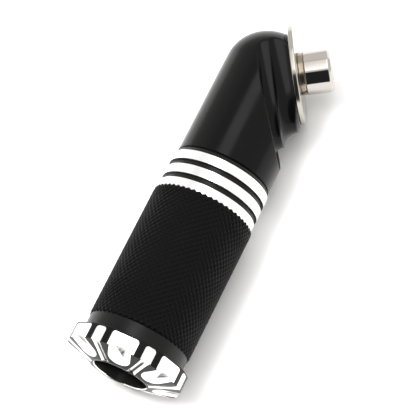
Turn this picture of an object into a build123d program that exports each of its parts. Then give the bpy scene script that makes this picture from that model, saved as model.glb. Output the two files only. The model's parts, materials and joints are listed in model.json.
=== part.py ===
from build123d import *
import math
import os

os.makedirs("parts", exist_ok=True)

# A motorcycle foot peg: a knurled barrel clamped to an oblique mounting head.
# Origin: centre of the bolt seat. +X runs out along the mounting bolt, and the barrel's axis
# lies in the XY plane, so +Z is square to both axes. Lengths are millimetres, angles degrees.

# ---------------------------------------------------------------- driving dimensions
BARREL_ANGLE = 60.0  # between the bolt's axis and the barrel's axis
SEAT_HEIGHT = 7.2  # from the point where the two axes cross to the seat

# head
HEAD_R = 14.5
HEAD_LENGTH = 33.2  # from the crossing point down to the shoulder
DOME_LENGTH = 13.0  # from the crossing point to the flat at the top of the dome
DOME_FILLET = 12.5
SPIGOT_R = 10.0
SPIGOT_LENGTH = 30.0
SHOULDER_CHAMFER = 0.4

# the two scalloped ridges round the seat, counted from the seat down
SEAT_INSET = 1.9  # how far the seat's outline is narrower than the head, each side
TIP_MARGIN = 1.9  # how far the seat's outline runs out past the head's own surface
SCALLOP_HEIGHTS = (5.6, 3.4)
SCALLOP_REACHES = (4.1, 3.6)  # how far each scallop spreads at the outline's tip
SIDE_SPREAD = 0.2  # share of that spread that shows at the outline's sides
SCALLOP_SECTIONS = 5

# collar with the polished lands
LAND_COUNT = 3
LAND_WIDTH = 2.85
GROOVE_WIDTH = 1.7
GROOVE_DEPTH = 0.7
LAND_R = 15.1

# knurled sleeve
KNURL_R = 15.5
KNURL_LENGTH = 41.3
KNURL_CHAMFER = 0.5
BAND_R = 15.1
BAND_LENGTH = 4.9

# end ring
RING_R = 17.5
RING_WALL = 4.85
RING_CONE = 2.6
RING_EDGE = 0.3
RIM_WIDTH = 0.6
RIM_CHAMFER = 0.3
RECESS_R = 8.1
RECESS_DEPTH = 12.0
POCKET_R = 7.8  # the narrower bottom of the recess, where the centre bolt's head sits
CUP_WALL = 3.0
CUP_FLOOR = 4.0
FACET_COUNT = 7
FACET_PHASE = -8.2  # first wide facet, turned from +Z
SCOOP_R = 5.6
SCOOP_DEPTH = 0.8  # at the ring's outer edge
SCOOP_END_R = 10.9  # where the scoop runs out, from the ring's axis
FLUTE_R = 2.6
FLUTE_DEPTH = 0.45

# mounting bolt and its washers
BOLT_R = 4.0
BOLT_LENGTH = 20.0
BOLT_HEAD_R = 6.5
BOLT_HEAD_HEIGHT = 8.0
BOLT_HEAD_CHAMFER = 0.8
BOLT_UNDER_CHAMFER = 0.3
HEX_ACROSS = 6.0
HEX_DEPTH = 4.0
FLAT_WASHER_R = 15.0
FLAT_WASHER_THICKNESS = 1.5
LOCK_WASHER_R = 6.35
LOCK_WASHER_THICKNESS = 1.6
LOCK_WASHER_GAP = 1.1
LOCK_WASHER_SLANT = 25.0
WASHER_EDGE = 0.2
THREAD_CLEARANCE = 0.05
WASHER_CLEARANCE = 0.3

# threaded insert in the head
INSERT_R = 6.0
INSERT_LENGTH = 16.0
INSERT_HOLE_SPARE = 3.0

# centre bolt and its washer
CENTRE_R = 4.0
CENTRE_LENGTH = 30.0
CENTRE_HEAD_R = 6.5
CENTRE_HEAD_HEIGHT = 8.0
CENTRE_WASHER_R = 7.5
CENTRE_WASHER_THICKNESS = 1.6
CENTRE_HOLE_CLEARANCE = 0.5
CENTRE_TAP_SPARE = 3.0

# dowel pins
HEAD_PIN_R = 1.25
HEAD_PIN_DEPTH = 6.0  # in the head, and again in the sleeve
END_PIN_R = 1.0
END_PIN_IN_SLEEVE = 5.0
END_PIN_IN_RING = 2.5

SLIP_FIT = 0.02  # radial, between turned pieces that slide together and are then clamped

# ---------------------------------------------------------------- derived places
crossing = Vector(-SEAT_HEIGHT, 0, 0)
angle = math.radians(BARREL_ANGLE)
outward = Vector(-math.cos(angle), -math.sin(angle), 0)
sideways = Vector(math.sin(angle), -math.cos(angle), 0)
barrel_axis = Axis(crossing, outward)
barrel_plane = Plane(origin=crossing, x_dir=(0, 0, 1), z_dir=outward)
# profiles of turned barrel pieces: local x is the radius, local y the distance from the crossing
profile_plane = Plane(origin=crossing, x_dir=(0, 0, 1), z_dir=sideways)

collar_length = LAND_COUNT * (LAND_WIDTH + GROOVE_WIDTH)
collar_end = HEAD_LENGTH + collar_length
knurl_end = collar_end + KNURL_LENGTH
sleeve_end = knurl_end + BAND_LENGTH
ring_edge = sleeve_end + RING_WALL
rim = ring_edge + RING_CONE
recess_floor = rim - RECESS_DEPTH
spigot_end = HEAD_LENGTH + SPIGOT_LENGTH
pocket_depth = CENTRE_WASHER_THICKNESS + CENTRE_HEAD_HEIGHT
cup_inside = recess_floor - pocket_depth
cup_end = cup_inside - CUP_FLOOR
cup_r = RECESS_R + CUP_WALL
centre_head_under = cup_inside + CENTRE_WASHER_THICKNESS
centre_tip = centre_head_under - CENTRE_LENGTH
head_pin_r = (SPIGOT_R + LAND_R - GROOVE_DEPTH) / 2
end_pin_r = (cup_r + BAND_R) / 2
washer_stack = FLAT_WASHER_THICKNESS + LOCK_WASHER_THICKNESS


def outline_at(spread):
    """The seat's outline, spread outwards: centre along Y, half length and half width."""
    half_length = HEAD_R / math.cos(angle)
    tip = SEAT_HEIGHT * math.tan(angle) - half_length - TIP_MARGIN - spread
    half_width = HEAD_R - SEAT_INSET + SIDE_SPREAD * spread
    return tip + half_length, half_length, half_width


# ---------------------------------------------------------------- ridges round the seat
with BuildPart() as ridges:
    top = 0.0
    start = 0.0
    for height, reach in zip(SCALLOP_HEIGHTS, SCALLOP_REACHES):
        for section in range(SCALLOP_SECTIONS):
            turn = math.pi / 2 * section / (SCALLOP_SECTIONS - 1)
            level = top - height * math.sin(turn)
            centre, half_length, half_width = outline_at(start + reach * (1 - math.cos(turn)))
            with BuildSketch(Plane.YZ.offset(level)):
                with Locations((centre, 0)):
                    Ellipse(half_length, half_width)
        loft()
        top -= height
        start += reach
lower_floor = -sum(SCALLOP_HEIGHTS)

# ---------------------------------------------------------------- what the mill takes off the head
with BuildPart() as step_cut:
    with BuildSketch(Plane.YZ.offset(lower_floor)):
        Rectangle(8 * HEAD_R, 4 * HEAD_R)
    extrude(amount=2 * HEAD_R - lower_floor)
    add(ridges.part, mode=Mode.SUBTRACT)
    with BuildSketch(Plane.YZ):
        Rectangle(8 * HEAD_R, 4 * HEAD_R)
    extrude(amount=2 * HEAD_R)

# ---------------------------------------------------------------- mount_head
with BuildPart() as mount_head:
    with BuildSketch(profile_plane):
        with BuildLine():
            flat_r = HEAD_R - DOME_FILLET
            dome_foot = DOME_FILLET - DOME_LENGTH
            Polyline((0, spigot_end), (0, -DOME_LENGTH), (flat_r, -DOME_LENGTH))
            TangentArc((flat_r, -DOME_LENGTH), (HEAD_R, dome_foot), tangent=(1, 0))
            Polyline(
                (HEAD_R, dome_foot),
                (HEAD_R, HEAD_LENGTH - SHOULDER_CHAMFER),
                (HEAD_R - SHOULDER_CHAMFER, HEAD_LENGTH),
                (SPIGOT_R, HEAD_LENGTH),
                (SPIGOT_R, spigot_end),
                (0, spigot_end),
            )
        make_face()
    revolve(axis=barrel_axis)
    add(step_cut.part, mode=Mode.SUBTRACT)
    # hole for the threaded insert, square to the seat
    with BuildSketch(Plane.YZ):
        Circle(INSERT_R)
    extrude(amount=-(INSERT_LENGTH + INSERT_HOLE_SPARE), mode=Mode.SUBTRACT)
    # tapped hole for the centre bolt
    with BuildSketch(barrel_plane.offset(centre_tip - CENTRE_TAP_SPARE)):
        Circle(CENTRE_R + THREAD_CLEARANCE)
    extrude(amount=spigot_end - centre_tip + CENTRE_TAP_SPARE, mode=Mode.SUBTRACT)
    # dowel holes in the shoulder
    with BuildSketch(barrel_plane.offset(HEAD_LENGTH - HEAD_PIN_DEPTH)):
        with PolarLocations(head_pin_r, 2):
            Circle(HEAD_PIN_R)
    extrude(amount=HEAD_PIN_DEPTH, mode=Mode.SUBTRACT)
mount_head.part.label = "mount_head"
export_step(mount_head.part, "parts/mount_head.step")

# ---------------------------------------------------------------- seat_insert
with BuildPart() as seat_insert:
    with BuildSketch(Plane.YZ):
        Circle(INSERT_R)
        Circle(BOLT_R + THREAD_CLEARANCE, mode=Mode.SUBTRACT)
    extrude(amount=-INSERT_LENGTH)
seat_insert.part.label = "seat_insert"
export_step(seat_insert.part, "parts/seat_insert.step")

# ---------------------------------------------------------------- flat_washer
with BuildPart() as flat_washer:
    with BuildSketch(Plane.YZ):
        Circle(FLAT_WASHER_R)
        Circle(BOLT_R + WASHER_CLEARANCE, mode=Mode.SUBTRACT)
    extrude(amount=FLAT_WASHER_THICKNESS)
    outer_edges = flat_washer.edges().filter_by(GeomType.CIRCLE).group_by(SortBy.RADIUS)[-1]
    chamfer(outer_edges, WASHER_EDGE)
flat_washer.part.label = "flat_washer"
export_step(flat_washer.part, "parts/flat_washer.step")

# ---------------------------------------------------------------- lock_washer
# A split spring washer, pressed flat by the bolt. The slot is cut on a slant.
with BuildPart() as lock_washer:
    with BuildSketch(Plane.YZ.offset(FLAT_WASHER_THICKNESS)):
        Circle(LOCK_WASHER_R)
        Circle(BOLT_R + WASHER_CLEARANCE, mode=Mode.SUBTRACT)
    extrude(amount=LOCK_WASHER_THICKNESS)
    outer_edges = lock_washer.edges().filter_by(GeomType.CIRCLE).group_by(SortBy.RADIUS)[-1]
    chamfer(outer_edges, WASHER_EDGE)
    with Locations((FLAT_WASHER_THICKNESS + LOCK_WASHER_THICKNESS / 2, -LOCK_WASHER_R, 0)):
        Box(
            4 * LOCK_WASHER_THICKNESS,
            2 * (LOCK_WASHER_R - BOLT_R + WASHER_EDGE),
            LOCK_WASHER_GAP,
            rotation=(0, LOCK_WASHER_SLANT, 0),
            mode=Mode.SUBTRACT,
        )
lock_washer.part.label = "lock_washer"
export_step(lock_washer.part, "parts/lock_washer.step")

# ---------------------------------------------------------------- mount_bolt
with BuildPart() as mount_bolt:
    head_under = washer_stack
    with BuildSketch(Plane.YZ.offset(head_under)):
        Circle(BOLT_HEAD_R)
    extrude(amount=BOLT_HEAD_HEIGHT)
    rims = mount_bolt.edges().filter_by(GeomType.CIRCLE).sort_by(Axis.X)
    chamfer(rims[-1], BOLT_HEAD_CHAMFER)
    rims = mount_bolt.edges().filter_by(GeomType.CIRCLE).sort_by(Axis.X)
    chamfer(rims[0], BOLT_UNDER_CHAMFER)
    with BuildSketch(Plane.YZ.offset(head_under + BOLT_HEAD_HEIGHT)):
        RegularPolygon(HEX_ACROSS / 2, 6, major_radius=False, rotation=30)
    extrude(amount=-HEX_DEPTH, mode=Mode.SUBTRACT)
    with BuildSketch(Plane.YZ.offset(head_under)):
        Circle(BOLT_R)
    extrude(amount=-BOLT_LENGTH)
    tip_edge = mount_bolt.edges().filter_by(GeomType.CIRCLE).sort_by(Axis.X)[0]
    chamfer(tip_edge, BOLT_HEAD_CHAMFER)
mount_bolt.part.label = "mount_bolt"
export_step(mount_bolt.part, "parts/mount_bolt.step")

# ---------------------------------------------------------------- ring_collar
with BuildPart() as ring_collar:
    with BuildSketch(profile_plane):
        with Locations(((SPIGOT_R + SLIP_FIT + LAND_R) / 2, HEAD_LENGTH + collar_length / 2)):
            Rectangle(LAND_R - SPIGOT_R - SLIP_FIT, collar_length)
        for groove in range(LAND_COUNT):
            middle = HEAD_LENGTH + groove * (LAND_WIDTH + GROOVE_WIDTH) + GROOVE_WIDTH / 2
            with Locations((LAND_R - GROOVE_DEPTH / 2, middle)):
                Rectangle(GROOVE_DEPTH, GROOVE_WIDTH, mode=Mode.SUBTRACT)
    revolve(axis=barrel_axis)
    with BuildSketch(barrel_plane.offset(HEAD_LENGTH)):
        with PolarLocations(head_pin_r, 2):
            Circle(HEAD_PIN_R)
    extrude(amount=collar_length, mode=Mode.SUBTRACT)
ring_collar.part.label = "ring_collar"
export_step(ring_collar.part, "parts/ring_collar.step")

# ---------------------------------------------------------------- knurled_sleeve
with BuildPart() as knurled_sleeve:
    with BuildSketch(profile_plane):
        with BuildLine():
            Polyline(
                (SPIGOT_R + SLIP_FIT, collar_end),
                (KNURL_R - KNURL_CHAMFER, collar_end),
                (KNURL_R, collar_end + KNURL_CHAMFER),
                (KNURL_R, knurl_end),
                (BAND_R, knurl_end),
                (BAND_R, sleeve_end),
                (cup_r + SLIP_FIT, sleeve_end),
                (cup_r + SLIP_FIT, cup_end),
                (SPIGOT_R + SLIP_FIT, cup_end),
                (SPIGOT_R + SLIP_FIT, collar_end),
            )
        make_face()
    revolve(axis=barrel_axis)
    with BuildSketch(barrel_plane.offset(collar_end)):
        with PolarLocations(head_pin_r, 2):
            Circle(HEAD_PIN_R)
    extrude(amount=HEAD_PIN_DEPTH, mode=Mode.SUBTRACT)
    with BuildSketch(barrel_plane.offset(sleeve_end - END_PIN_IN_SLEEVE)):
        with Locations((end_pin_r, 0)):
            Circle(END_PIN_R)
    extrude(amount=END_PIN_IN_SLEEVE, mode=Mode.SUBTRACT)
knurled_sleeve.part.label = "knurled_sleeve"
export_step(knurled_sleeve.part, "parts/knurled_sleeve.step")

# ---------------------------------------------------------------- end_ring
rim_r = RECESS_R + RIM_CHAMFER + RIM_WIDTH
scoop_run = RING_R - SCOOP_END_R
cone_slope = math.atan2(RING_CONE, RING_R - rim_r)
scoop_slope = math.atan2(SCOOP_DEPTH, scoop_run)
# height of the cone face above the ring's edge, where the scoop runs out
scoop_end_height = RING_CONE * scoop_run / (RING_R - rim_r)

with BuildPart() as end_ring:
    with BuildSketch(profile_plane):
        with BuildLine():
            Polyline(
                (cup_r, sleeve_end),
                (RING_R - RING_EDGE, sleeve_end),
                (RING_R, sleeve_end + RING_EDGE),
                (RING_R, ring_edge),
                (rim_r, rim),
                (RECESS_R + RIM_CHAMFER, rim),
                (RECESS_R, rim - RIM_CHAMFER),
                (RECESS_R, recess_floor),
                (POCKET_R, recess_floor),
                (POCKET_R, cup_inside),
                (CENTRE_R + CENTRE_HOLE_CLEARANCE, cup_inside),
                (CENTRE_R + CENTRE_HOLE_CLEARANCE, cup_end),
                (cup_r, cup_end),
                (cup_r, sleeve_end),
            )
        make_face()
    revolve(axis=barrel_axis)
    # scooped pockets under the wide facets, each a round-bottomed cut that runs out towards the rim
    scoop_tilt = 90 + math.degrees(cone_slope + scoop_slope)
    with Locations(barrel_plane.offset(ring_edge + scoop_end_height)):
        with PolarLocations(SCOOP_END_R, FACET_COUNT, start_angle=FACET_PHASE):
            with Locations(Location((0, 0, 0), (0, scoop_tilt, 0))):
                with Locations((-SCOOP_R, 0, 0)):
                    Cylinder(SCOOP_R, 6 * SCOOP_R, mode=Mode.SUBTRACT)
    # flutes under the narrow facets, from the outer edge to the recess rim
    flute_tilt = 90 + math.degrees(cone_slope)
    flute_phase = FACET_PHASE + 180 / FACET_COUNT
    with Locations(barrel_plane.offset(rim)):
        with PolarLocations(rim_r, FACET_COUNT, start_angle=flute_phase):
            with Locations(Location((0, 0, 0), (0, flute_tilt, 0))):
                with Locations((-FLUTE_R + FLUTE_DEPTH, 0, 0)):
                    Cylinder(FLUTE_R, 3 * RING_R, mode=Mode.SUBTRACT)
    with BuildSketch(barrel_plane.offset(sleeve_end)):
        with Locations((end_pin_r, 0)):
            Circle(END_PIN_R)
    extrude(amount=END_PIN_IN_RING, mode=Mode.SUBTRACT)
end_ring.part.label = "end_ring"
export_step(end_ring.part, "parts/end_ring.step")

# ---------------------------------------------------------------- centre_washer
with BuildPart() as centre_washer:
    with BuildSketch(barrel_plane.offset(cup_inside)):
        Circle(CENTRE_WASHER_R)
        Circle(CENTRE_R + WASHER_CLEARANCE, mode=Mode.SUBTRACT)
    extrude(amount=CENTRE_WASHER_THICKNESS)
centre_washer.part.label = "centre_washer"
export_step(centre_washer.part, "parts/centre_washer.step")

# ---------------------------------------------------------------- centre_bolt
with BuildPart() as centre_bolt:
    with BuildSketch(barrel_plane.offset(centre_head_under)):
        Circle(CENTRE_HEAD_R)
    extrude(amount=CENTRE_HEAD_HEIGHT)
    rims = centre_bolt.edges().filter_by(GeomType.CIRCLE).sort_by(barrel_axis)
    chamfer(rims[-1], BOLT_HEAD_CHAMFER)
    with BuildSketch(barrel_plane.offset(centre_head_under + CENTRE_HEAD_HEIGHT)):
        RegularPolygon(HEX_ACROSS / 2, 6, major_radius=False)
    extrude(amount=-HEX_DEPTH, mode=Mode.SUBTRACT)
    with BuildSketch(barrel_plane.offset(centre_tip)):
        Circle(CENTRE_R)
    extrude(amount=CENTRE_LENGTH)
centre_bolt.part.label = "centre_bolt"
export_step(centre_bolt.part, "parts/centre_bolt.step")

# ---------------------------------------------------------------- head_pins
with BuildPart() as head_pins:
    with BuildSketch(barrel_plane.offset(HEAD_LENGTH - HEAD_PIN_DEPTH)):
        with PolarLocations(head_pin_r, 2):
            Circle(HEAD_PIN_R)
    extrude(amount=collar_length + 2 * HEAD_PIN_DEPTH)
head_pins.part.label = "head_pins"
export_step(head_pins.part, "parts/head_pins.step")

# ---------------------------------------------------------------- end_pin
with BuildPart() as end_pin:
    with BuildSketch(barrel_plane.offset(sleeve_end - END_PIN_IN_SLEEVE)):
        with Locations((end_pin_r, 0)):
            Circle(END_PIN_R)
    extrude(amount=END_PIN_IN_SLEEVE + END_PIN_IN_RING)
end_pin.part.label = "end_pin"
export_step(end_pin.part, "parts/end_pin.step")
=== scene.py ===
"""A motorcycle foot peg: knurled barrel, polished lands, faceted end ring, oblique bolted head.

Lengths are metres in the CAD model's frame: the origin is the middle of the bolt seat, +X runs
out along the mounting bolt, and the barrel's axis lies in the XY plane.
"""
import json
import math
import bpy
import numpy as np
from mathutils import Matrix, Vector


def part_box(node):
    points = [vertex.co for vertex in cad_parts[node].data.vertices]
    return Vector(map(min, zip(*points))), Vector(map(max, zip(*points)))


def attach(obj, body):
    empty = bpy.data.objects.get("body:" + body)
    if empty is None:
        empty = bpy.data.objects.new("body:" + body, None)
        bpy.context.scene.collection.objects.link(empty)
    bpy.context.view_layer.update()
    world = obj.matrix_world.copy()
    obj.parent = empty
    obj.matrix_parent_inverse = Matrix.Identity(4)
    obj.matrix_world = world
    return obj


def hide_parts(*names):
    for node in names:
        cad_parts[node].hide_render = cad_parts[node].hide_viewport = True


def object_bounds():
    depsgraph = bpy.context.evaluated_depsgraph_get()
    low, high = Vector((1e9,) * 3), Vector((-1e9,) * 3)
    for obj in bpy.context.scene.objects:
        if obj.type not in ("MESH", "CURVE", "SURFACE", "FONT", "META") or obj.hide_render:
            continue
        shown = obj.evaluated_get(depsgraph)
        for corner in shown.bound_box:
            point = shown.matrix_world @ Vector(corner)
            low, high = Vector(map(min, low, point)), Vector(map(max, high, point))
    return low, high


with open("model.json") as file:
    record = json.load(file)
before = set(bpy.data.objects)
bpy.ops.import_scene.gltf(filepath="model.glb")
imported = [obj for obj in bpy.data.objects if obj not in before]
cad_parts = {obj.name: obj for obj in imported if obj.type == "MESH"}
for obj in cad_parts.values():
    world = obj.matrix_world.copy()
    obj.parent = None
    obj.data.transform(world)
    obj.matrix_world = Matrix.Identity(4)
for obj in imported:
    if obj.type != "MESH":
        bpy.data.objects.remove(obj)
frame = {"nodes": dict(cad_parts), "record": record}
cad_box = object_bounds()

MM = 0.001
SPIGOT_BORE = 10.02 * MM  # the collar and the sleeve slide over the head's spigot
X_AXIS = np.array([1.0, 0.0, 0.0])
Y_AXIS = np.array([0.0, 1.0, 0.0])
Z_AXIS = np.array([0.0, 0.0, 1.0])

# ---------------------------------------------------------------- the barrel's axis, from the frame
mounts = {m["name"]: m for m in frame["record"]["mounts"]}
outward = np.array(mounts["end_recess"]["axis"], float)
outward /= np.linalg.norm(outward)
recess_middle = np.array(mounts["end_recess"]["pos_m"], float)
# where the barrel's axis meets the bolt's axis
crossing = recess_middle - outward * recess_middle[1] / outward[1]
sideways = np.cross(outward, Z_AXIS) * -1.0
seat_height = -crossing[0]


def node_points(node):
    """A CAD node's corners as an n by 3 array."""
    mesh = frame["nodes"][node].data
    flat = np.empty(len(mesh.vertices) * 3)
    mesh.vertices.foreach_get("co", flat)
    return flat.reshape(-1, 3)


def barrel_span(node):
    """Where a node starts and ends along the barrel's axis, from the crossing, and its radius."""
    away = node_points(node) - crossing
    along = away @ outward
    radius = np.linalg.norm(away - along[:, None] * outward, axis=1)
    return along.min(), along.max(), radius.max()


# ---------------------------------------------------------------- meshes from arrays
def add_piece(name, points, faces, materials, face_material=None):
    """Puts an n by 3 array and a list of index arrays into a smooth-shaded object at the origin."""
    mesh = bpy.data.meshes.new(name)
    mesh.from_pydata(points.reshape(-1, 3).tolist(), [], [list(f) for f in faces])
    for material in materials:
        mesh.materials.append(material)
    mesh.polygons.foreach_set("use_smooth", np.ones(len(mesh.polygons), bool))
    if face_material is not None:
        mesh.polygons.foreach_set("material_index", np.asarray(face_material, np.int32))
    mesh.update()
    piece = bpy.data.objects.new(name, mesh)
    bpy.context.scene.collection.objects.link(piece)
    return piece


def quads(rows, columns, wrap_rows=False):
    """Index quads of a grid whose columns close on themselves, and whose rows may close too."""
    row = np.arange(rows if wrap_rows else rows - 1)
    column = np.arange(columns)
    r, c = np.meshgrid(row, column, indexing="ij")
    r2, c2 = (r + 1) % rows, (c + 1) % columns
    corners = [r * columns + c, r * columns + c2, r2 * columns + c2, r2 * columns + c]
    return np.stack(corners, -1).reshape(-1, 4)


def caps(rows, columns, first_pole, last_pole):
    """Triangles that close a grid's first and last row onto a pole each."""
    c = np.arange(columns)
    c2 = (c + 1) % columns
    last = (rows - 1) * columns
    start = np.stack([np.full(columns, first_pole), c2, c], -1)
    end = np.stack([np.full(columns, last_pole), last + c, last + c2], -1)
    return start, end


def round_corners(corners, radii, steps=5):
    """Outline with each corner replaced by an arc that touches both sides, plus a point just
    before and after it, so that flat sides shade flat. Corners with no radius stay sharp."""
    corners = np.asarray(corners, float)
    out = []
    for i, (corner, radius) in enumerate(zip(corners, radii)):
        if radius <= 0:
            out.append(corner)
            continue
        back = corners[i - 1] - corner
        ahead = corners[(i + 1) % len(corners)] - corner
        back_length, ahead_length = np.linalg.norm(back), np.linalg.norm(ahead)
        back, ahead = back / back_length, ahead / ahead_length
        half = math.acos(np.clip(back @ ahead, -1, 1)) / 2
        reach = radius / math.tan(half)
        bisector = (back + ahead) / np.linalg.norm(back + ahead)
        centre = corner + bisector * radius / math.sin(half)
        start, end = corner + back * reach, corner + ahead * reach
        spare = 0.4 * radius
        out.append(start + back * min(spare, 0.3 * (back_length - reach)))
        for share in np.linspace(0, 1, steps + 1):
            spoke = (start - centre) * (1 - share) + (end - centre) * share
            out.append(centre + spoke / np.linalg.norm(spoke) * radius)
        out.append(end + ahead * min(spare, 0.3 * (ahead_length - reach)))
    return np.array(out)


def turned(profile, columns, axis_point, axis, start):
    """Points of a profile of (radius, height) turned about an axis; angle 0 lies along start.
    The point is axis_point + height * axis + radius * (cos a * start + sin a * side)."""
    side = np.cross(axis, start)
    a = 2 * np.pi * np.arange(columns) / columns
    spokes = np.cos(a)[:, None] * start + np.sin(a)[:, None] * side
    return axis_point + profile[:, 1][:, None, None] * axis + profile[:, 0][:, None, None] * spokes


def flip(faces):
    """The same faces wound the other way."""
    return [f[::-1] for f in faces]


# ---------------------------------------------------------------- material helpers
def new_material(name):
    """A fresh material with only a Principled shader; returns it, its nodes, links and shader."""
    material = bpy.data.materials.new(name)
    material.use_nodes = True
    tree = material.node_tree
    shader = tree.nodes["Principled BSDF"]
    return material, tree.nodes, tree.links, shader


def group_socket(group, name, kind, way, default=None):
    """Adds one named socket to a node group."""
    socket = group.interface.new_socket(name=name, in_out=way, socket_type=kind)
    if default is not None:
        socket.default_value = default
    return socket


def maths(nodes, links, operation, first, second=None, clamp=False):
    """A Math node fed by sockets or numbers; returns its output."""
    node = nodes.new("ShaderNodeMath")
    node.operation = operation
    node.use_clamp = clamp
    for slot, value in zip(node.inputs, (first, second)):
        if value is None:
            continue
        if isinstance(value, (int, float)):
            slot.default_value = value
        else:
            links.new(value, slot)
    return node.outputs[0]


def build_fine_grain():
    """Node group: fine uneven grain as a height and a roughness. Two noises at a given scale,
    the coarse one for handling marks and the fine one for the surface's own texture."""
    group = bpy.data.node_groups.new("surface_grain", "ShaderNodeTree")
    group_socket(group, "Scale", "NodeSocketFloat", "INPUT", 900.0)
    group_socket(group, "Roughness Low", "NodeSocketFloat", "INPUT", 0.1)
    group_socket(group, "Roughness High", "NodeSocketFloat", "INPUT", 0.2)
    group_socket(group, "Height", "NodeSocketFloat", "OUTPUT")
    group_socket(group, "Roughness", "NodeSocketFloat", "OUTPUT")
    nodes, links = group.nodes, group.links
    given = nodes.new("NodeGroupInput")
    result = nodes.new("NodeGroupOutput")
    place = nodes.new("ShaderNodeTexCoord")
    fine = nodes.new("ShaderNodeTexNoise")
    fine.inputs["Detail"].default_value = 4.0
    links.new(place.outputs["Object"], fine.inputs["Vector"])
    links.new(given.outputs["Scale"], fine.inputs["Scale"])
    coarse = nodes.new("ShaderNodeTexNoise")
    coarse.inputs["Scale"].default_value = 120.0
    coarse.inputs["Detail"].default_value = 6.0
    links.new(place.outputs["Object"], coarse.inputs["Vector"])
    spread = nodes.new("ShaderNodeMapRange")
    spread.inputs["From Min"].default_value = 0.35
    spread.inputs["From Max"].default_value = 0.65
    links.new(coarse.outputs["Fac"], spread.inputs["Value"])
    links.new(given.outputs["Roughness Low"], spread.inputs["To Min"])
    links.new(given.outputs["Roughness High"], spread.inputs["To Max"])
    links.new(fine.outputs["Fac"], result.inputs["Height"])
    links.new(spread.outputs["Result"], result.inputs["Roughness"])
    return group


def build_turning_lines():
    """Node group: the fine rings a lathe tool leaves round an axis, as a height. The distance
    along the axis is the dot product of the place with the axis; noise on it gives the rings."""
    group = bpy.data.node_groups.new("turning_lines", "ShaderNodeTree")
    group_socket(group, "Axis", "NodeSocketVector", "INPUT")
    group_socket(group, "Lines Per Metre", "NodeSocketFloat", "INPUT", 4000.0)
    group_socket(group, "Height", "NodeSocketFloat", "OUTPUT")
    nodes, links = group.nodes, group.links
    given = nodes.new("NodeGroupInput")
    result = nodes.new("NodeGroupOutput")
    place = nodes.new("ShaderNodeTexCoord")
    dot = nodes.new("ShaderNodeVectorMath")
    dot.operation = "DOT_PRODUCT"
    links.new(place.outputs["Object"], dot.inputs[0])
    links.new(given.outputs["Axis"], dot.inputs[1])
    scaled = maths(nodes, links, "MULTIPLY", dot.outputs["Value"], given.outputs["Lines Per Metre"])
    noise = nodes.new("ShaderNodeTexNoise")
    noise.noise_dimensions = "1D"
    noise.inputs["Scale"].default_value = 1.0
    noise.inputs["Detail"].default_value = 3.0
    links.new(scaled, noise.inputs["W"])
    links.new(noise.outputs["Fac"], result.inputs["Height"])
    return group


surface_grain = build_fine_grain()
turning_lines = build_turning_lines()


def add_grain(nodes, links, shader, scale, low, high, bump, distance):
    """Feeds a shader's roughness and normal from the grain group."""
    grain = nodes.new("ShaderNodeGroup")
    grain.node_tree = surface_grain
    grain.inputs["Scale"].default_value = scale
    grain.inputs["Roughness Low"].default_value = low
    grain.inputs["Roughness High"].default_value = high
    links.new(grain.outputs["Roughness"], shader.inputs["Roughness"])
    bumps = nodes.new("ShaderNodeBump")
    bumps.inputs["Strength"].default_value = bump
    bumps.inputs["Distance"].default_value = distance
    links.new(grain.outputs["Height"], bumps.inputs["Height"])
    links.new(bumps.outputs["Normal"], shader.inputs["Normal"])
    return grain, bumps


def anodised(name, colour, gloss, low, high, grain_scale, bump):
    """Black anodised aluminium: a dark dyed oxide skin with a soft gloss and a fine grain."""
    material, nodes, links, shader = new_material(name)
    shader.inputs["Base Color"].default_value = (*colour, 1)
    shader.inputs["Specular IOR Level"].default_value = gloss
    add_grain(nodes, links, shader, grain_scale, low, high, bump, 0.02 * MM)
    return material


def plated(name, colour, low, high, bump, axis=None, lines=3000.0, line_bump=0.0):
    """Bright metal: nickel, chrome or cut aluminium, with handling haze and lathe lines."""
    material, nodes, links, shader = new_material(name)
    shader.inputs["Base Color"].default_value = (*colour, 1)
    shader.inputs["Metallic"].default_value = 1.0
    _, bumps = add_grain(nodes, links, shader, 700.0, low, high, bump, 0.02 * MM)
    if axis is not None:
        rings = nodes.new("ShaderNodeGroup")
        rings.node_tree = turning_lines
        rings.inputs["Axis"].default_value = tuple(float(v) for v in axis)
        rings.inputs["Lines Per Metre"].default_value = lines
        second = nodes.new("ShaderNodeBump")
        second.inputs["Strength"].default_value = line_bump
        second.inputs["Distance"].default_value = 0.02 * MM
        links.new(rings.outputs["Height"], second.inputs["Height"])
        links.new(bumps.outputs["Normal"], second.inputs["Normal"])
        links.new(second.outputs["Normal"], shader.inputs["Normal"])
    return material


BLACK = (0.002, 0.002, 0.0021)
CUT_METAL = (0.96, 0.955, 0.945)
# painted dark reflection: the brownish black laid into the end ring's scoops and flutes
PAINTED_DARK_REFLECTION = (0.03, 0.022, 0.02)

gloss_black = anodised("gloss_black_anodised", BLACK, 0.13, 0.12, 0.20, 900.0, 0.05)
satin_black = anodised("satin_black_anodised", BLACK, 0.22, 0.26, 0.36, 1500.0, 0.15)
knurl_black = anodised("knurl_black_anodised", BLACK, 0.07, 0.30, 0.42, 1800.0, 0.2)
land_metal = plated("turned_land_metal", CUT_METAL, 0.22, 0.32, 0.03, outward, 9000.0, 0.10)
nickel = plated("nickel_plate", (0.42, 0.405, 0.365), 0.12, 0.22, 0.08, X_AXIS, 5000.0, 0.06)
chrome = plated("chrome_plate", (0.47, 0.445, 0.42), 0.04, 0.09, 0.03)
# the spring washer's dark brownish colour is partly its own burnished tone and partly painted shade,
# darkened for the shade in the gap under the bolt head
spring_steel = plated("spring_washer_plate", (0.30, 0.255, 0.20), 0.14, 0.26, 0.12)
zinc_steel = plated("zinc_steel", (0.55, 0.55, 0.57), 0.22, 0.36, 0.15)
dark_steel = plated("black_oxide_steel", (0.05, 0.05, 0.052), 0.25, 0.38, 0.2)


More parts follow.
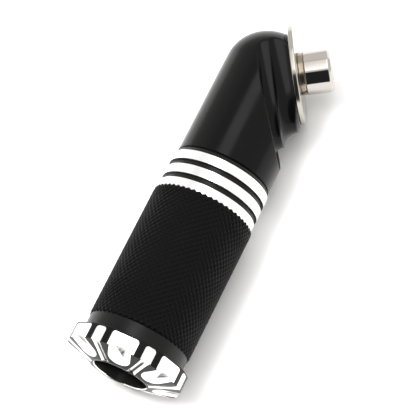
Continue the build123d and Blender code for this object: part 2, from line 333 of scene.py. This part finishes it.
def facet_metal():
    """Black anodised skin cut through to bright metal where the piece's cut attribute is above
    zero, with a second attribute darkening the metal: a painted dark reflection down the scoops
    and flutes. The border is a narrow step, so that it stays crisp between the mesh's points."""
    material, nodes, links, shader = new_material("contrast_cut_aluminium")
    cut = nodes.new("ShaderNodeAttribute")
    cut.attribute_name = "cut"
    edge = nodes.new("ShaderNodeMapRange")
    edge.inputs["From Min"].default_value = -0.03
    edge.inputs["From Max"].default_value = 0.03
    links.new(cut.outputs["Fac"], edge.inputs["Value"])
    colour = nodes.new("ShaderNodeMix")
    colour.data_type = "RGBA"
    colour.inputs["A"].default_value = (*BLACK, 1)
    links.new(edge.outputs["Result"], colour.inputs["Factor"])
    painted_dark_reflection = nodes.new("ShaderNodeAttribute")
    painted_dark_reflection.attribute_name = "painted_dark_reflection"
    # painted dark reflection: the cut metal turns brownish black where the second attribute says
    metal = nodes.new("ShaderNodeMix")
    metal.data_type = "RGBA"
    metal.inputs["A"].default_value = (*CUT_METAL, 1)
    metal.inputs["B"].default_value = (*PAINTED_DARK_REFLECTION, 1)
    links.new(painted_dark_reflection.outputs["Fac"], metal.inputs["Factor"])
    links.new(metal.outputs["Result"], colour.inputs["B"])
    links.new(colour.outputs["Result"], shader.inputs["Base Color"])
    links.new(edge.outputs["Result"], shader.inputs["Metallic"])
    shader.inputs["Specular IOR Level"].default_value = 0.16
    grain, _ = add_grain(nodes, links, shader, 1200.0, 0.24, 0.34, 0.06, 0.02 * MM)
    rough = nodes.new("ShaderNodeMix")
    rough.data_type = "FLOAT"
    rough.inputs["B"].default_value = 0.07
    links.new(edge.outputs["Result"], rough.inputs["Factor"])
    links.new(grain.outputs["Roughness"], rough.inputs["A"])
    links.new(rough.outputs["Result"], shader.inputs["Roughness"])
    return material


contrast_cut = facet_metal()

# ---------------------------------------------------------------- mount_head
HEAD_R = barrel_span("mount_head")[2]
DOME_END = barrel_span("mount_head")[0]
HEAD_SHOULDER = barrel_span("ring_collar")[0]
DOME_FILLET = 12.5 * MM
SEAT_HALF_WIDTH = HEAD_R - 1.9 * MM
SEAT_TIP = seat_height * math.sqrt(3) - HEAD_R * 2 - 1.9 * MM
SIDE_SPREAD = 0.2
# the scallops cut round the seat: height of the centre from the seat, spread of the centre, radius
SCALLOPS = ((-0.96 * MM, 4.66 * MM, 4.66 * MM), (-5.41 * MM, 7.72 * MM, 3.59 * MM))
EDGE_ROUND = 0.25 * MM


def smooth_max(a, b, k):
    """The larger of two values, with the corner between them rounded over about k."""
    gap = np.clip(0.5 + 0.5 * (a - b) / k, 0, 1)
    return b * (1 - gap) + a * gap + k * gap * (1 - gap)


def seat_spread(y, z):
    """How far a point stands outside the seat's bullet-shaped outline: the spread E for which it
    lies on the ellipse of tip SEAT_TIP - E and half width SEAT_HALF_WIDTH + SIDE_SPREAD * E.
    Found by halving, because the ellipse's equation only falls as E grows."""
    half_length = 2 * HEAD_R
    centre = SEAT_TIP + half_length
    low = np.full(y.shape, -12 * MM)
    high = np.full(y.shape, 30 * MM)
    for _ in range(18):
        mid = (low + high) / 2
        along = np.minimum(y - centre + mid, 0) / half_length
        across = z / (SEAT_HALF_WIDTH + SIDE_SPREAD * mid)
        outside = along**2 + across**2 > 1
        low = np.where(outside, mid, low)
        high = np.where(outside, high, mid)
    return (low + high) / 2


def head_field(p):
    """Above zero outside the head. The body is a cylinder about the barrel's axis with a filleted
    end; the seat is a plane square to X, and two round scallops step down from it."""
    away = p - crossing
    along = away @ outward
    radius = np.linalg.norm(away - along[..., None] * outward, axis=-1)
    dome_foot = DOME_END + DOME_FILLET
    fillet = np.hypot(np.maximum(radius - HEAD_R + DOME_FILLET, 0), np.minimum(along - dome_foot, 0))
    body = np.where(along > dome_foot, radius - HEAD_R, fillet - DOME_FILLET)
    spread = seat_spread(p[..., 1], p[..., 2])
    cut = p[..., 0]
    for height, reach, round_r in SCALLOPS:
        inside = round_r - np.hypot(p[..., 0] - height, spread - reach)
        cut = smooth_max(cut, inside, EDGE_ROUND)
    return smooth_max(body, cut, EDGE_ROUND)


def head_rays(rows, columns):
    """Ray starts and directions that cover the head: square to the barrel's axis along its
    length, then fanning from a point on the axis over the dome. Rows and columns crowd together
    towards the scallops."""
    fan = 0.34  # share of the rows that covers the dome
    pole_gap = 0.004  # radians left open round the pole
    s = np.linspace(0, 1, rows)
    turn = np.clip((fan - s) / fan, 0, 1) * (np.pi / 2 - pole_gap)
    along = np.clip((s - fan) / (1 - fan), 0, 1) * HEAD_SHOULDER
    a = 2 * np.pi * np.arange(columns) / columns
    a = a - 0.45 * np.sin(a)
    spokes = np.cos(a)[:, None] * sideways + np.sin(a)[:, None] * Z_AXIS
    starts = crossing + along[:, None] * outward
    aims = np.cos(turn)[:, None, None] * spokes - np.sin(turn)[:, None, None] * outward
    return np.broadcast_to(starts[:, None, :], aims.shape), aims


def first_exit(starts, aims, far, steps=64):
    """Where each ray first leaves the head: marched in equal steps, then halved."""
    low = np.zeros(aims.shape[:-1])
    high = np.full(aims.shape[:-1], far)
    found = np.zeros(aims.shape[:-1], bool)
    for step in range(1, steps + 1):
        t = far * step / steps
        out = head_field(starts + aims * t) > 0
        fresh = out & ~found
        high[fresh] = t
        low[fresh] = far * (step - 1) / steps
        found |= out
    for _ in range(20):
        mid = (low + high) / 2
        out = head_field(starts + aims * mid[..., None]) > 0
        high = np.where(out, mid, high)
        low = np.where(out, low, mid)
    return starts + aims * high[..., None]


def make_head():
    """The head as one closed skin: rays from the barrel's axis out to where the field is zero,
    the last row rolled over the shoulder and closed on the axis."""
    rows, columns = 300, 300
    starts, aims = head_rays(rows, columns)
    skin = first_exit(starts, aims, 20 * MM)
    shoulder = []
    for inset, drop in ((0.04, 0.0), (0.1, 0.03), (0.3, 0.06), (1.2, 0.06)):
        rim = skin[-1] - crossing
        rim_along = (rim @ outward)[:, None] * outward
        spoke = rim - rim_along
        spoke *= (1 - inset * MM / HEAD_R)
        shoulder.append(crossing + rim_along + spoke + outward * drop * MM)
    skin = np.concatenate([skin, np.array(shoulder)])
    points = skin.reshape(-1, 3)
    poles = np.array([crossing + outward * DOME_END, crossing + outward * (HEAD_SHOULDER + 0.06 * MM)])
    count = len(skin)
    start, end = caps(count, columns, len(points), len(points) + 1)
    faces = flip(list(quads(count, columns)) + list(start) + list(end))
    return add_piece("head_body", np.concatenate([points, poles]), faces, [gloss_black])


# ---------------------------------------------------------------- ring_collar
def make_collar():
    """The collar: three flat polished lands between square grooves, turned about the barrel's
    axis. Land faces get bright metal and the rest the black skin."""
    start, end, land_r = barrel_span("ring_collar")
    pitch = (end - start) / 3
    groove, depth, edge = 1.7 * MM, 0.7 * MM, 0.09 * MM
    corners, radii = [(SPIGOT_BORE, start)], [0]
    for land in range(3):
        foot = start + land * pitch
        corners += [(land_r - depth, foot), (land_r - depth, foot + groove)]
        corners += [(land_r, foot + groove), (land_r, foot + pitch)]
        radii += [edge if land else 0, edge, edge, edge if land < 2 else 0.05 * MM]
    corners.append((SPIGOT_BORE, end))
    radii.append(0)
    profile = round_corners(corners, radii, 4)
    columns = 256
    points = turned(profile, columns, crossing, outward, Z_AXIS)
    faces = quads(len(profile), columns, wrap_rows=True)
    middle = (profile + np.roll(profile, -1, 0)) / 2
    bright = middle[:, 0] > land_r - 0.06 * MM
    per_face = np.repeat(bright, columns)
    return add_piece("collar_lands", points, flip(list(faces)), [satin_black, land_metal], per_face)


# ---------------------------------------------------------------- knurled_sleeve
KNURL_STARTS = 54
KNURL_DEPTH = 0.42 * MM
CELL = 8  # mesh points across one diamond


def make_sleeve():
    """The sleeve: radius R less a groove depth. Two families of helical V-grooves cross at a
    right angle; a point's depth is that of the nearer groove, from the two phases
    N a / 2 pi plus and minus the height over the pitch, with the diamond's top rounded."""
    start, band_end, crest = barrel_span("knurled_sleeve")
    band_start = band_end - 4.9 * MM
    band_r = 15.1 * MM
    pitch = 2 * math.pi * crest / KNURL_STARTS
    columns = KNURL_STARTS * CELL
    rows = int(round((band_start - start) / pitch * CELL))
    height = np.linspace(start, band_start, rows)
    a = np.arange(columns) / columns * KNURL_STARTS
    h, n = np.meshgrid((height - start) / pitch, a, indexing="ij")

    def ridge(phase):
        """0 in the groove's middle, 1 halfway between two grooves."""
        return np.abs(2 * (phase % 1.0) - 1.0)

    diamond = np.minimum(ridge(n + h), ridge(n - h))
    rise = 1 - (1 - np.clip(diamond / 0.85, 0, 1)) ** 1.6
    radius = crest - KNURL_DEPTH * (1 - rise)
    # the edges at both ends are rounded over, and the diamonds there end in points
    shoulder, tooth_length, tooth_reach = 0.35 * MM, 0.5 * MM, 0.6 * MM
    tooth = tooth_length * ridge(a)[None, :]
    place = np.broadcast_to(height[:, None], radius.shape).copy()
    for gap, way in ((height - start, -1), (band_start - height, 1)):
        inside = np.clip(shoulder - gap, 0, shoulder)
        drop = shoulder - np.sqrt(shoulder**2 - inside**2)
        radius = np.minimum(radius, (crest - drop)[:, None])
        place += way * tooth * np.clip(1 - gap / tooth_reach, 0, 1)[:, None]
    radius[0] = radius[-1] = band_r + 0.02 * MM
    spoke_a = 2 * np.pi * np.arange(columns) / columns
    side = np.cross(outward, Z_AXIS)
    spokes = np.cos(spoke_a)[:, None] * Z_AXIS + np.sin(spoke_a)[:, None] * side
    knurled = crossing + place[..., None] * outward + radius[..., None] * spokes
    band = round_corners(
        [
            (band_r, band_start),
            (band_r, band_start + 0.55 * MM),
            (band_r, band_end - 0.2 * MM),
            (band_r, band_end),
            (SPIGOT_BORE, band_end),
            (SPIGOT_BORE, start),
            (14.6 * MM, start),
        ],
        [0, 0, 0, 0.1 * MM, 0, 0, 0],
    )
    smooth = turned(band, columns, crossing, outward, Z_AXIS)
    points = np.concatenate([knurled, smooth])
    faces = quads(len(points), columns, wrap_rows=True)
    is_band = np.repeat(np.arange(len(points)) >= rows - 1, columns)
    return add_piece("sleeve_knurl", points, flip(list(faces)), [knurl_black, satin_black], is_band)


# ---------------------------------------------------------------- end_ring
FACETS = 7
FACET_PHASE = math.radians(8.2)  # first wide facet, from +Z towards the bolt's side
WIDE_HALF = math.radians(26.5) / 2
NARROW_HALF = math.radians(10.8) / 2
WALL_HEIGHT = 4.85 * MM
CONE_DROP = 2.6 * MM
WIDE_SAG = 0.35 * MM
NARROW_SAG = 0.10 * MM
SCOOP_DEPTH = 0.62 * MM
SCOOP_HALF = 3.35 * MM
SCOOP_END = 10.0 * MM
FLUTE_DEPTH = 0.42 * MM
FLUTE_HALF = 1.15 * MM


def rounded_box(x, y, half_x, half_y, corner):
    """How far inside a rounded rectangle a point lies, below zero outside it."""
    qx = np.abs(x) - half_x + corner
    qy = np.abs(y) - half_y + corner
    outside = np.hypot(np.maximum(qx, 0), np.maximum(qy, 0)) + np.minimum(np.maximum(qx, qy), 0)
    return corner - outside


def make_end_ring():
    """The end ring: a profile turned about the barrel's axis, then cut. On the side wall, flats
    of two widths in turn. On the cone, a scoop under each wide flat, a round-bottomed cut whose
    depth grows with the radius, and a flute under each narrow flat. The cut attribute is how far
    inside a cut a point lies, in millimetres."""
    cup_start, ring_end, ring_r = barrel_span("end_ring")
    wall_bottom = ring_end - CONE_DROP
    wall_top = wall_bottom - WALL_HEIGHT
    recess_r = mounts["end_recess"]["dims"]["r_mm"] * MM
    chamfer, rim_flat = 0.3 * MM, 0.6 * MM
    rim_r = recess_r + chamfer + rim_flat
    recess_floor = ring_end - 12 * MM
    cup_r, pocket_r, hole_r = recess_r + 3 * MM, recess_r - 0.3 * MM, 4.5 * MM
    cup_inside = cup_start + 4 * MM
    columns = FACETS * 84

    a = 2 * np.pi * np.arange(columns) / columns
    step = 2 * np.pi / FACETS
    wide = (a - FACET_PHASE + step / 2) % step - step / 2
    narrow = (a - FACET_PHASE) % step - step / 2

    edge = 0.22 * MM
    wall = np.concatenate([[0.0, 0.03], np.linspace(0.06, 0.94, 14), [0.97, 1.0]])
    cone = np.concatenate([[0.0, 0.015], np.linspace(0.04, 1.0, 46)])

    def radius_of_wall():
        """The wall's radius round the ring, dipping in the middle of each flat."""
        dip = WIDE_SAG * np.clip(1 - (wide / WIDE_HALF) ** 2, 0, 1)
        dip = dip + NARROW_SAG * np.clip(1 - (narrow / NARROW_HALF) ** 2, 0, 1)
        return ring_r - dip

    def cuts(radius):
        """Depth of the scoop or flute at a radius, how far inside it the point lies, and how much painted
        dark reflection it gets.
        """
        end_run = np.maximum(SCOOP_END + SCOOP_HALF - radius, 0)
        reach = np.hypot(radius * np.sin(wide), end_run) / SCOOP_HALF
        flare = FLUTE_HALF * (1 + 0.15 * ((radius - 13.0 * MM) / (4.5 * MM)) ** 2)
        offset = np.abs(radius * np.sin(narrow)) / flare
        depth = np.maximum(SCOOP_DEPTH * (1 - reach**2), FLUTE_DEPTH * (1 - offset**2))
        inside = np.maximum((1 - reach) * SCOOP_HALF, (1 - offset) * flare) / MM
        # painted dark reflection: a wedge that narrows down each scoop, a line down each flute's middle
        across = radius * np.sin(wide) / MM
        down = (wall_r - radius) / MM
        wedge = 1.8 * (1 - np.abs(across - 0.25 * down) / (2.6 * np.maximum(1 - down / 4.2, 0.05)))
        feather = 0.88 + 0.12 * np.sin(5 * across + 2.2 * down)
        scoop_painted_dark = np.clip(wedge, 0, 1) * np.clip(0.62 + 0.25 * down, 0, 1) * feather
        flute_painted_dark = 1.6 * (1 - offset / 0.6) * np.clip(down / 2.5, 0, 1)
        return np.maximum(depth, 0), inside, np.clip(np.maximum(scoop_painted_dark, flute_painted_dark), 0, 1)

    wall_r = radius_of_wall()
    edge_depth, _, _ = cuts(wall_r)
    bottom = wall_bottom - edge_depth
    rows, marks, painted_dark_reflections = [], [], []

    def add_row(radius, height, mark, painted_dark_reflection=0.0):
        """One ring of points at a radius and height that may change round the ring."""
        rows.append(np.stack([np.broadcast_to(radius, a.shape), np.broadcast_to(height, a.shape)], -1))
        marks.append(np.broadcast_to(mark, a.shape))
        painted_dark_reflections.append(np.broadcast_to(painted_dark_reflection, a.shape))

    add_row(cup_r, wall_top, -1)
    add_row(ring_r - 3 * edge, wall_top, -1)
    for share in np.linspace(0, 1, 5):
        turn = share * math.pi / 2
        add_row(wall_r - edge + edge * math.sin(turn), wall_top + edge - edge * math.cos(turn), -1)
    for share in wall[1:]:
        height = (wall_top + edge) * (1 - share) + bottom * share
        half_wall = WALL_HEIGHT / 2 + 1.2 * MM
        from_top = height - wall_top - half_wall - 0.5 * MM
        inside = np.maximum(
            rounded_box(wide * ring_r, from_top, WIDE_HALF * ring_r, half_wall, 0.9 * MM),
            rounded_box(narrow * ring_r, from_top, NARROW_HALF * ring_r, half_wall, 0.9 * MM),
        )
        add_row(wall_r, height, inside / MM)
    for share in cone[1:]:
        radius = wall_r * (1 - share) + rim_r * share
        depth, inside, painted_dark_reflection = cuts(radius)
        add_row(radius, wall_bottom + CONE_DROP * share - depth, inside, painted_dark_reflection)
    add_row(rim_r - 0.06 * MM, ring_end, -1)
    add_row(recess_r + chamfer, ring_end, -1)
    add_row(recess_r + chamfer - 0.03 * MM, ring_end - 0.02 * MM, 1)
    add_row(recess_r + 0.02 * MM, ring_end - chamfer + 0.02 * MM, 1)
    add_row(recess_r, ring_end - chamfer - 0.02 * MM, -1)
    for radius, height in (
        (recess_r, recess_floor + 0.05 * MM),
        (recess_r, recess_floor),
        (pocket_r, recess_floor),
        (pocket_r, cup_inside),
        (hole_r, cup_inside),
        (hole_r, cup_start),
        (cup_r, cup_start),
    ):
        add_row(radius, height, -1)

    profile = np.array(rows)
    side = sideways
    spokes = np.cos(a)[:, None] * Z_AXIS + np.sin(a)[:, None] * side
    points = crossing + profile[..., 1][..., None] * outward + profile[..., 0][..., None] * spokes
    faces = quads(len(rows), columns, wrap_rows=True)
    piece = add_piece("end_ring_cut", points, list(faces), [contrast_cut])
    # the second attribute is the painted dark reflection in the scoops and flutes
    for name, values in (("cut", marks), ("painted_dark_reflection", painted_dark_reflections)):
        attribute = piece.data.attributes.new(name, "FLOAT", "POINT")
        attribute.data.foreach_set("value", np.array(values).ravel())
    return piece


# ---------------------------------------------------------------- bolt, washers and hidden screws
def hex_circle(a, across):
    """Radius of a regular hexagon of that width across its flats at each angle."""
    sector = (a + math.pi / 6) % (math.pi / 3) - math.pi / 6
    return across / 2 / np.cos(sector)


def make_bolt(name, under, direction, base, head_r, head_height, shank_r, length, start, material):
    """A socket-head cap screw: head turned with a chamfer, hexagon socket sunk in its end, and a
    shank whose radius follows a helical thread, R less the depth of a rounded V at the phase
    angle / 2 pi minus height / pitch."""
    columns = 144
    a = 2 * np.pi * np.arange(columns) / columns
    across, depth, pitch = 6 * MM, 4 * MM, 1.25 * MM
    chamfer, under_chamfer = 0.8 * MM, 0.3 * MM
    top = under + head_height
    rows = []

    def add_row(radius, height):
        """One ring of the bolt, its radius and height along its axis."""
        rows.append(np.stack([np.broadcast_to(radius, a.shape), np.broadcast_to(height, a.shape)], -1))

    hexagon = hex_circle(a, across)
    for radius, height in (
        (0.3 * MM, top - depth - 0.9 * MM),
        (hexagon * 0.97, top - depth),
        (hexagon, top - depth + 0.05 * MM),
        (hexagon, top - 0.2 * MM),
        (hexagon + 0.03 * MM, top - 0.12 * MM),
        (np.full_like(a, across / 2 / math.cos(math.pi / 6) + 0.08 * MM), top - 0.02 * MM),
        (across / 2 / math.cos(math.pi / 6) + 0.2 * MM, top),
    ):
        add_row(radius, height)
    outline = round_corners(
        [
            (head_r - chamfer - 0.8 * MM, top),
            (head_r - chamfer, top),
            (head_r, top - chamfer),
            (head_r, under + under_chamfer),
            (head_r - under_chamfer, under),
            (shank_r + 0.3 * MM, under),
        ],
        [0, 0.35 * MM, 0.35 * MM, 0.1 * MM, 0.1 * MM, 0],
    )
    for radius, height in outline:
        add_row(radius, height)
    plain = 1.2 * MM
    tip = under - length
    turns = (length - plain) / pitch
    for height in np.linspace(under - 0.02 * MM, tip, int(turns * 10) + 8):
        phase = (a / (2 * np.pi) - height / pitch) % 1.0
        groove = np.clip(1 - np.abs(2 * phase - 1) * 1.5, 0, 1)
        fade = np.clip((under - plain - height) / (0.8 * MM), 0, 1)
        end = np.clip((0.7 * MM - (height - tip)), 0, 0.7 * MM)
        add_row(shank_r - 0.6 * MM * groove * fade - end, height)
    profile = np.array(rows)
    side = np.cross(direction, start)
    spokes = np.cos(a)[:, None] * start + np.sin(a)[:, None] * side
    points = base + profile[..., 1][..., None] * direction + profile[..., 0][..., None] * spokes
    flat = points.reshape(-1, 3)
    poles = np.array([base + direction * (top - depth - 1.0 * MM), base + direction * tip])
    begin, end = caps(len(rows), columns, len(flat), len(flat) + 1)
    faces = list(quads(len(rows), columns)) + list(begin) + list(end)
    return add_piece(name, np.concatenate([flat, poles]), faces, [material])


SHANK_R = 4 * MM
WASHER_BORE = SHANK_R + 0.3 * MM
CENTRE_HEAD_HEIGHT = 8 * MM
SLOT_SLANT = math.radians(25)


def make_flat_washer():
    """The large washer: a flat ring about the bolt's axis with rolled edges."""
    low, high = (v.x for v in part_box("flat_washer"))
    outer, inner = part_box("flat_washer")[1].y, WASHER_BORE
    profile = round_corners(
        [(inner, low), (outer, low), (outer, high), (inner, high)],
        [0.1 * MM, 0.25 * MM, 0.35 * MM, 0.15 * MM],
        6,
    )
    columns = 256
    points = turned(profile, columns, np.zeros(3), X_AXIS, Z_AXIS)
    return add_piece("seat_washer", points, flip(list(quads(len(profile), columns, True))), [nickel])


def make_lock_washer():
    """The spring washer: a rounded square section carried nearly once round the bolt's axis, cut
    off on a slant at both ends, which leaves the slot."""
    low, high = (v.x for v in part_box("lock_washer"))
    outer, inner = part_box("lock_washer")[1].z, WASHER_BORE
    section = round_corners(
        [(inner, low), (outer, low), (outer, high), (inner, high)],
        [0.1 * MM, 0.18 * MM, 0.18 * MM, 0.1 * MM],
        4,
    )
    columns = 160
    slot = 0.55 * MM / outer
    share = np.linspace(0, 1, columns)
    points = []
    for radius, height in section:
        lean = (height - (low + high) / 2) * math.tan(SLOT_SLANT) / outer
        a = slot + share * (2 * math.pi - 2 * slot) + lean
        spoke = np.cos(a)[:, None] * -Y_AXIS + np.sin(a)[:, None] * Z_AXIS
        points.append(height * X_AXIS + radius * spoke)
    points = np.swapaxes(np.array(points), 0, 1)
    count = len(section)
    faces = list(quads(columns, count))
    faces += [np.arange(count)[::-1], (columns - 1) * count + np.arange(count)]
    return add_piece("spring_washer", points, faces, [spring_steel])


head = make_head()
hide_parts("mount_head")
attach(head, "peg")

collar = make_collar()
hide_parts("ring_collar")
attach(collar, "peg")

sleeve = make_sleeve()
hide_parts("knurled_sleeve")
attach(sleeve, "peg")

end_ring = make_end_ring()
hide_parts("end_ring")
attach(end_ring, "peg")

washer = make_flat_washer()
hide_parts("flat_washer")
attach(washer, "washers")

spring = make_lock_washer()
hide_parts("lock_washer")
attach(spring, "washers")

bolt_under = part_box("lock_washer")[1].x
bolt_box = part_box("mount_bolt")
bolt = make_bolt(
    "mounting_bolt", bolt_under, X_AXIS, np.zeros(3), bolt_box[1].z, bolt_box[1].x - bolt_under,
    SHANK_R, 20 * MM, Z_AXIS, chrome,
)
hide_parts("mount_bolt")
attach(bolt, "bolt")

_, centre_end, centre_r = barrel_span("centre_bolt")
centre = make_bolt(
    "recess_bolt", centre_end - CENTRE_HEAD_HEIGHT, outward, crossing, centre_r, CENTRE_HEAD_HEIGHT,
    SHANK_R, 30 * MM, Z_AXIS, dark_steel,
)
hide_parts("centre_bolt")
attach(centre, "peg")

for node in ("seat_insert", "centre_washer", "head_pins", "end_pin"):
    carried = frame["nodes"][node]
    carried.data.materials.clear()
    carried.data.materials.append(zinc_steel)

# ---------------------------------------------------------------- camera
AZIMUTH, ELEVATION, ROLL = (math.radians(v) for v in (14.193, 63.826, -20.413))
LENS = 176.055
SENSOR = 36.0
# the camera's place from the point where the two axes cross: right, up and back
REACH = np.array([-18.470, -38.269, 599.767]) * MM

low, high = cad_box
middle = (np.array(low) + np.array(high)) / 2
back = np.array([
    math.sin(AZIMUTH) * math.cos(ELEVATION),
    -math.cos(AZIMUTH) * math.cos(ELEVATION),
    math.sin(ELEVATION),
])
level_right = np.array([math.cos(AZIMUTH), math.sin(AZIMUTH), 0.0])
level_up = np.cross(back, level_right)
right = math.cos(ROLL) * level_right + math.sin(ROLL) * level_up
up = np.cross(back, right)

camera = bpy.data.objects.new("camera", bpy.data.cameras.new("camera"))
bpy.context.scene.collection.objects.link(camera)
camera.data.lens = LENS
camera.data.sensor_width = SENSOR
camera.data.clip_start = 0.01
place = np.eye(4)
place[:3, 0], place[:3, 1], place[:3, 2] = right, up, back
place[:3, 3] = crossing + REACH[0] * right + REACH[1] * up + REACH[2] * back
camera.matrix_world = Matrix(place.tolist())
bpy.context.scene.camera = camera

# ---------------------------------------------------------------- floor
floor_material, _, _, floor_shader = new_material("white_paper")
floor_shader.inputs["Base Color"].default_value = (0.9, 0.9, 0.9, 1)
floor_shader.inputs["Roughness"].default_value = 0.9
floor_shader.inputs["Specular IOR Level"].default_value = 0.1
_, ring_end, ring_r = barrel_span("end_ring")
washer_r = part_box("flat_washer")[1].y
washer_along = -crossing @ outward
slope = (ring_r - washer_r) / (ring_end - CONE_DROP - washer_along)
floor_normal = Z_AXIS + slope * outward
floor_normal /= np.linalg.norm(floor_normal)
floor_mesh = bpy.data.meshes.new("floor")
FLOOR_HALF = 3.0
across = np.cross(floor_normal, X_AXIS)
across /= np.linalg.norm(across)
square = np.cross(across, floor_normal)
under = np.array([0, 0, -washer_r - 0.1 * MM])
corners = [under + FLOOR_HALF * (i * square + j * across) for i, j in ((-1, -1), (1, -1), (1, 1), (-1, 1))]
floor_mesh.from_pydata([tuple(c) for c in corners], [], [(0, 1, 2, 3)])
floor_mesh.materials.append(floor_material)
floor = bpy.data.objects.new("floor", floor_mesh)
bpy.context.scene.collection.objects.link(floor)

# ---------------------------------------------------------------- studio light
def direction(x, y, z):
    """A direction given as right, up and towards the camera, in the model's frame."""
    way = x * right + y * up + z * back
    return way / np.linalg.norm(way)


def add_softbox(name, way, distance, size, power, glossy):
    """A rectangular light aimed at the object from a direction."""
    light = bpy.data.lights.new(name, "AREA")
    light.shape = "RECTANGLE"
    light.size, light.size_y = size
    light.energy = power
    lamp = bpy.data.objects.new(name, light)
    bpy.context.scene.collection.objects.link(lamp)
    lamp.location = Vector(middle + way * distance)
    lamp.rotation_mode = "QUATERNION"
    lamp.rotation_quaternion = Vector(way).to_track_quat("Z", "Y")
    lamp.visible_glossy = glossy
    return lamp


add_softbox("key", direction(-0.42, 0.38, 0.83), 1.2, (0.5, 0.5), 13.0, False)
add_softbox("fill", direction(0.3, 0.5, 0.9), 1.5, (1.6, 1.6), 5.0, False)


def lobe(nodes, links, way, inner, outer):
    """A mask on the world: 1 within the cosine inner of a direction, falling to 0 at outer."""
    sky = nodes.new("ShaderNodeTexCoord")
    dot = nodes.new("ShaderNodeVectorMath")
    dot.operation = "DOT_PRODUCT"
    dot.inputs[1].default_value = tuple(float(v) for v in way)
    links.new(sky.outputs["Generated"], dot.inputs[0])
    spread = nodes.new("ShaderNodeMapRange")
    spread.interpolation_type = "SMOOTHSTEP"
    spread.inputs["From Min"].default_value = outer
    spread.inputs["From Max"].default_value = inner
    links.new(dot.outputs["Value"], spread.inputs["Value"])
    return spread.outputs["Result"]


world = bpy.data.worlds.new("studio")
bpy.context.scene.world = world
world.use_nodes = True
sky_nodes, sky_links = world.node_tree.nodes, world.node_tree.links
background = sky_nodes["Background"]


def blend_sky(base, mask, colour):
    """Lays a colour over the sky where the mask says."""
    mix = sky_nodes.new("ShaderNodeMix")
    mix.data_type = "RGBA"
    sky_links.new(mask, mix.inputs["Factor"])
    if isinstance(base, tuple):
        mix.inputs["A"].default_value = base
    else:
        sky_links.new(base, mix.inputs["A"])
    mix.inputs["B"].default_value = colour
    return mix.outputs["Result"]


WALLS = (1.1, 1.08, 1.05, 1)
LEFT = (0.85, 0.85, 0.85, 1)
CEILING_STRIP = (3.4, 3.4, 3.4, 1)
PHOTOGRAPHER = (0.03, 0.03, 0.032, 1)

sky = blend_sky(WALLS, lobe(sky_nodes, sky_links, direction(-0.45, 0.68, 0.58), 0.985, 0.93), LEFT)
strip_side = lobe(sky_nodes, sky_links, direction(0.0, 0.52, 0.86), 0.91, 0.88)
# the strip is narrow from side to side: a band about the plane that holds the camera's up and back
sky_place = sky_nodes.new("ShaderNodeTexCoord")
band_dot = sky_nodes.new("ShaderNodeVectorMath")
band_dot.operation = "DOT_PRODUCT"
band_dot.inputs[1].default_value = tuple(float(v) for v in right)
sky_links.new(sky_place.outputs["Generated"], band_dot.inputs[0])
band_size = maths(sky_nodes, sky_links, "ABSOLUTE", band_dot.outputs["Value"])
band = sky_nodes.new("ShaderNodeMapRange")
band.interpolation_type = "SMOOTHSTEP"
band.inputs["From Min"].default_value = 0.26
band.inputs["From Max"].default_value = 0.12
sky_links.new(band_size, band.inputs["Value"])
strip = maths(sky_nodes, sky_links, "MULTIPLY", strip_side, band.outputs["Result"])
sky = blend_sky(sky, strip, CEILING_STRIP)
sky = blend_sky(sky, lobe(sky_nodes, sky_links, direction(-0.1, -0.58, 0.81), 0.85, 0.82), PHOTOGRAPHER)
sky_links.new(sky, background.inputs["Color"])

bpy.context.scene.view_settings.view_transform = "Standard"
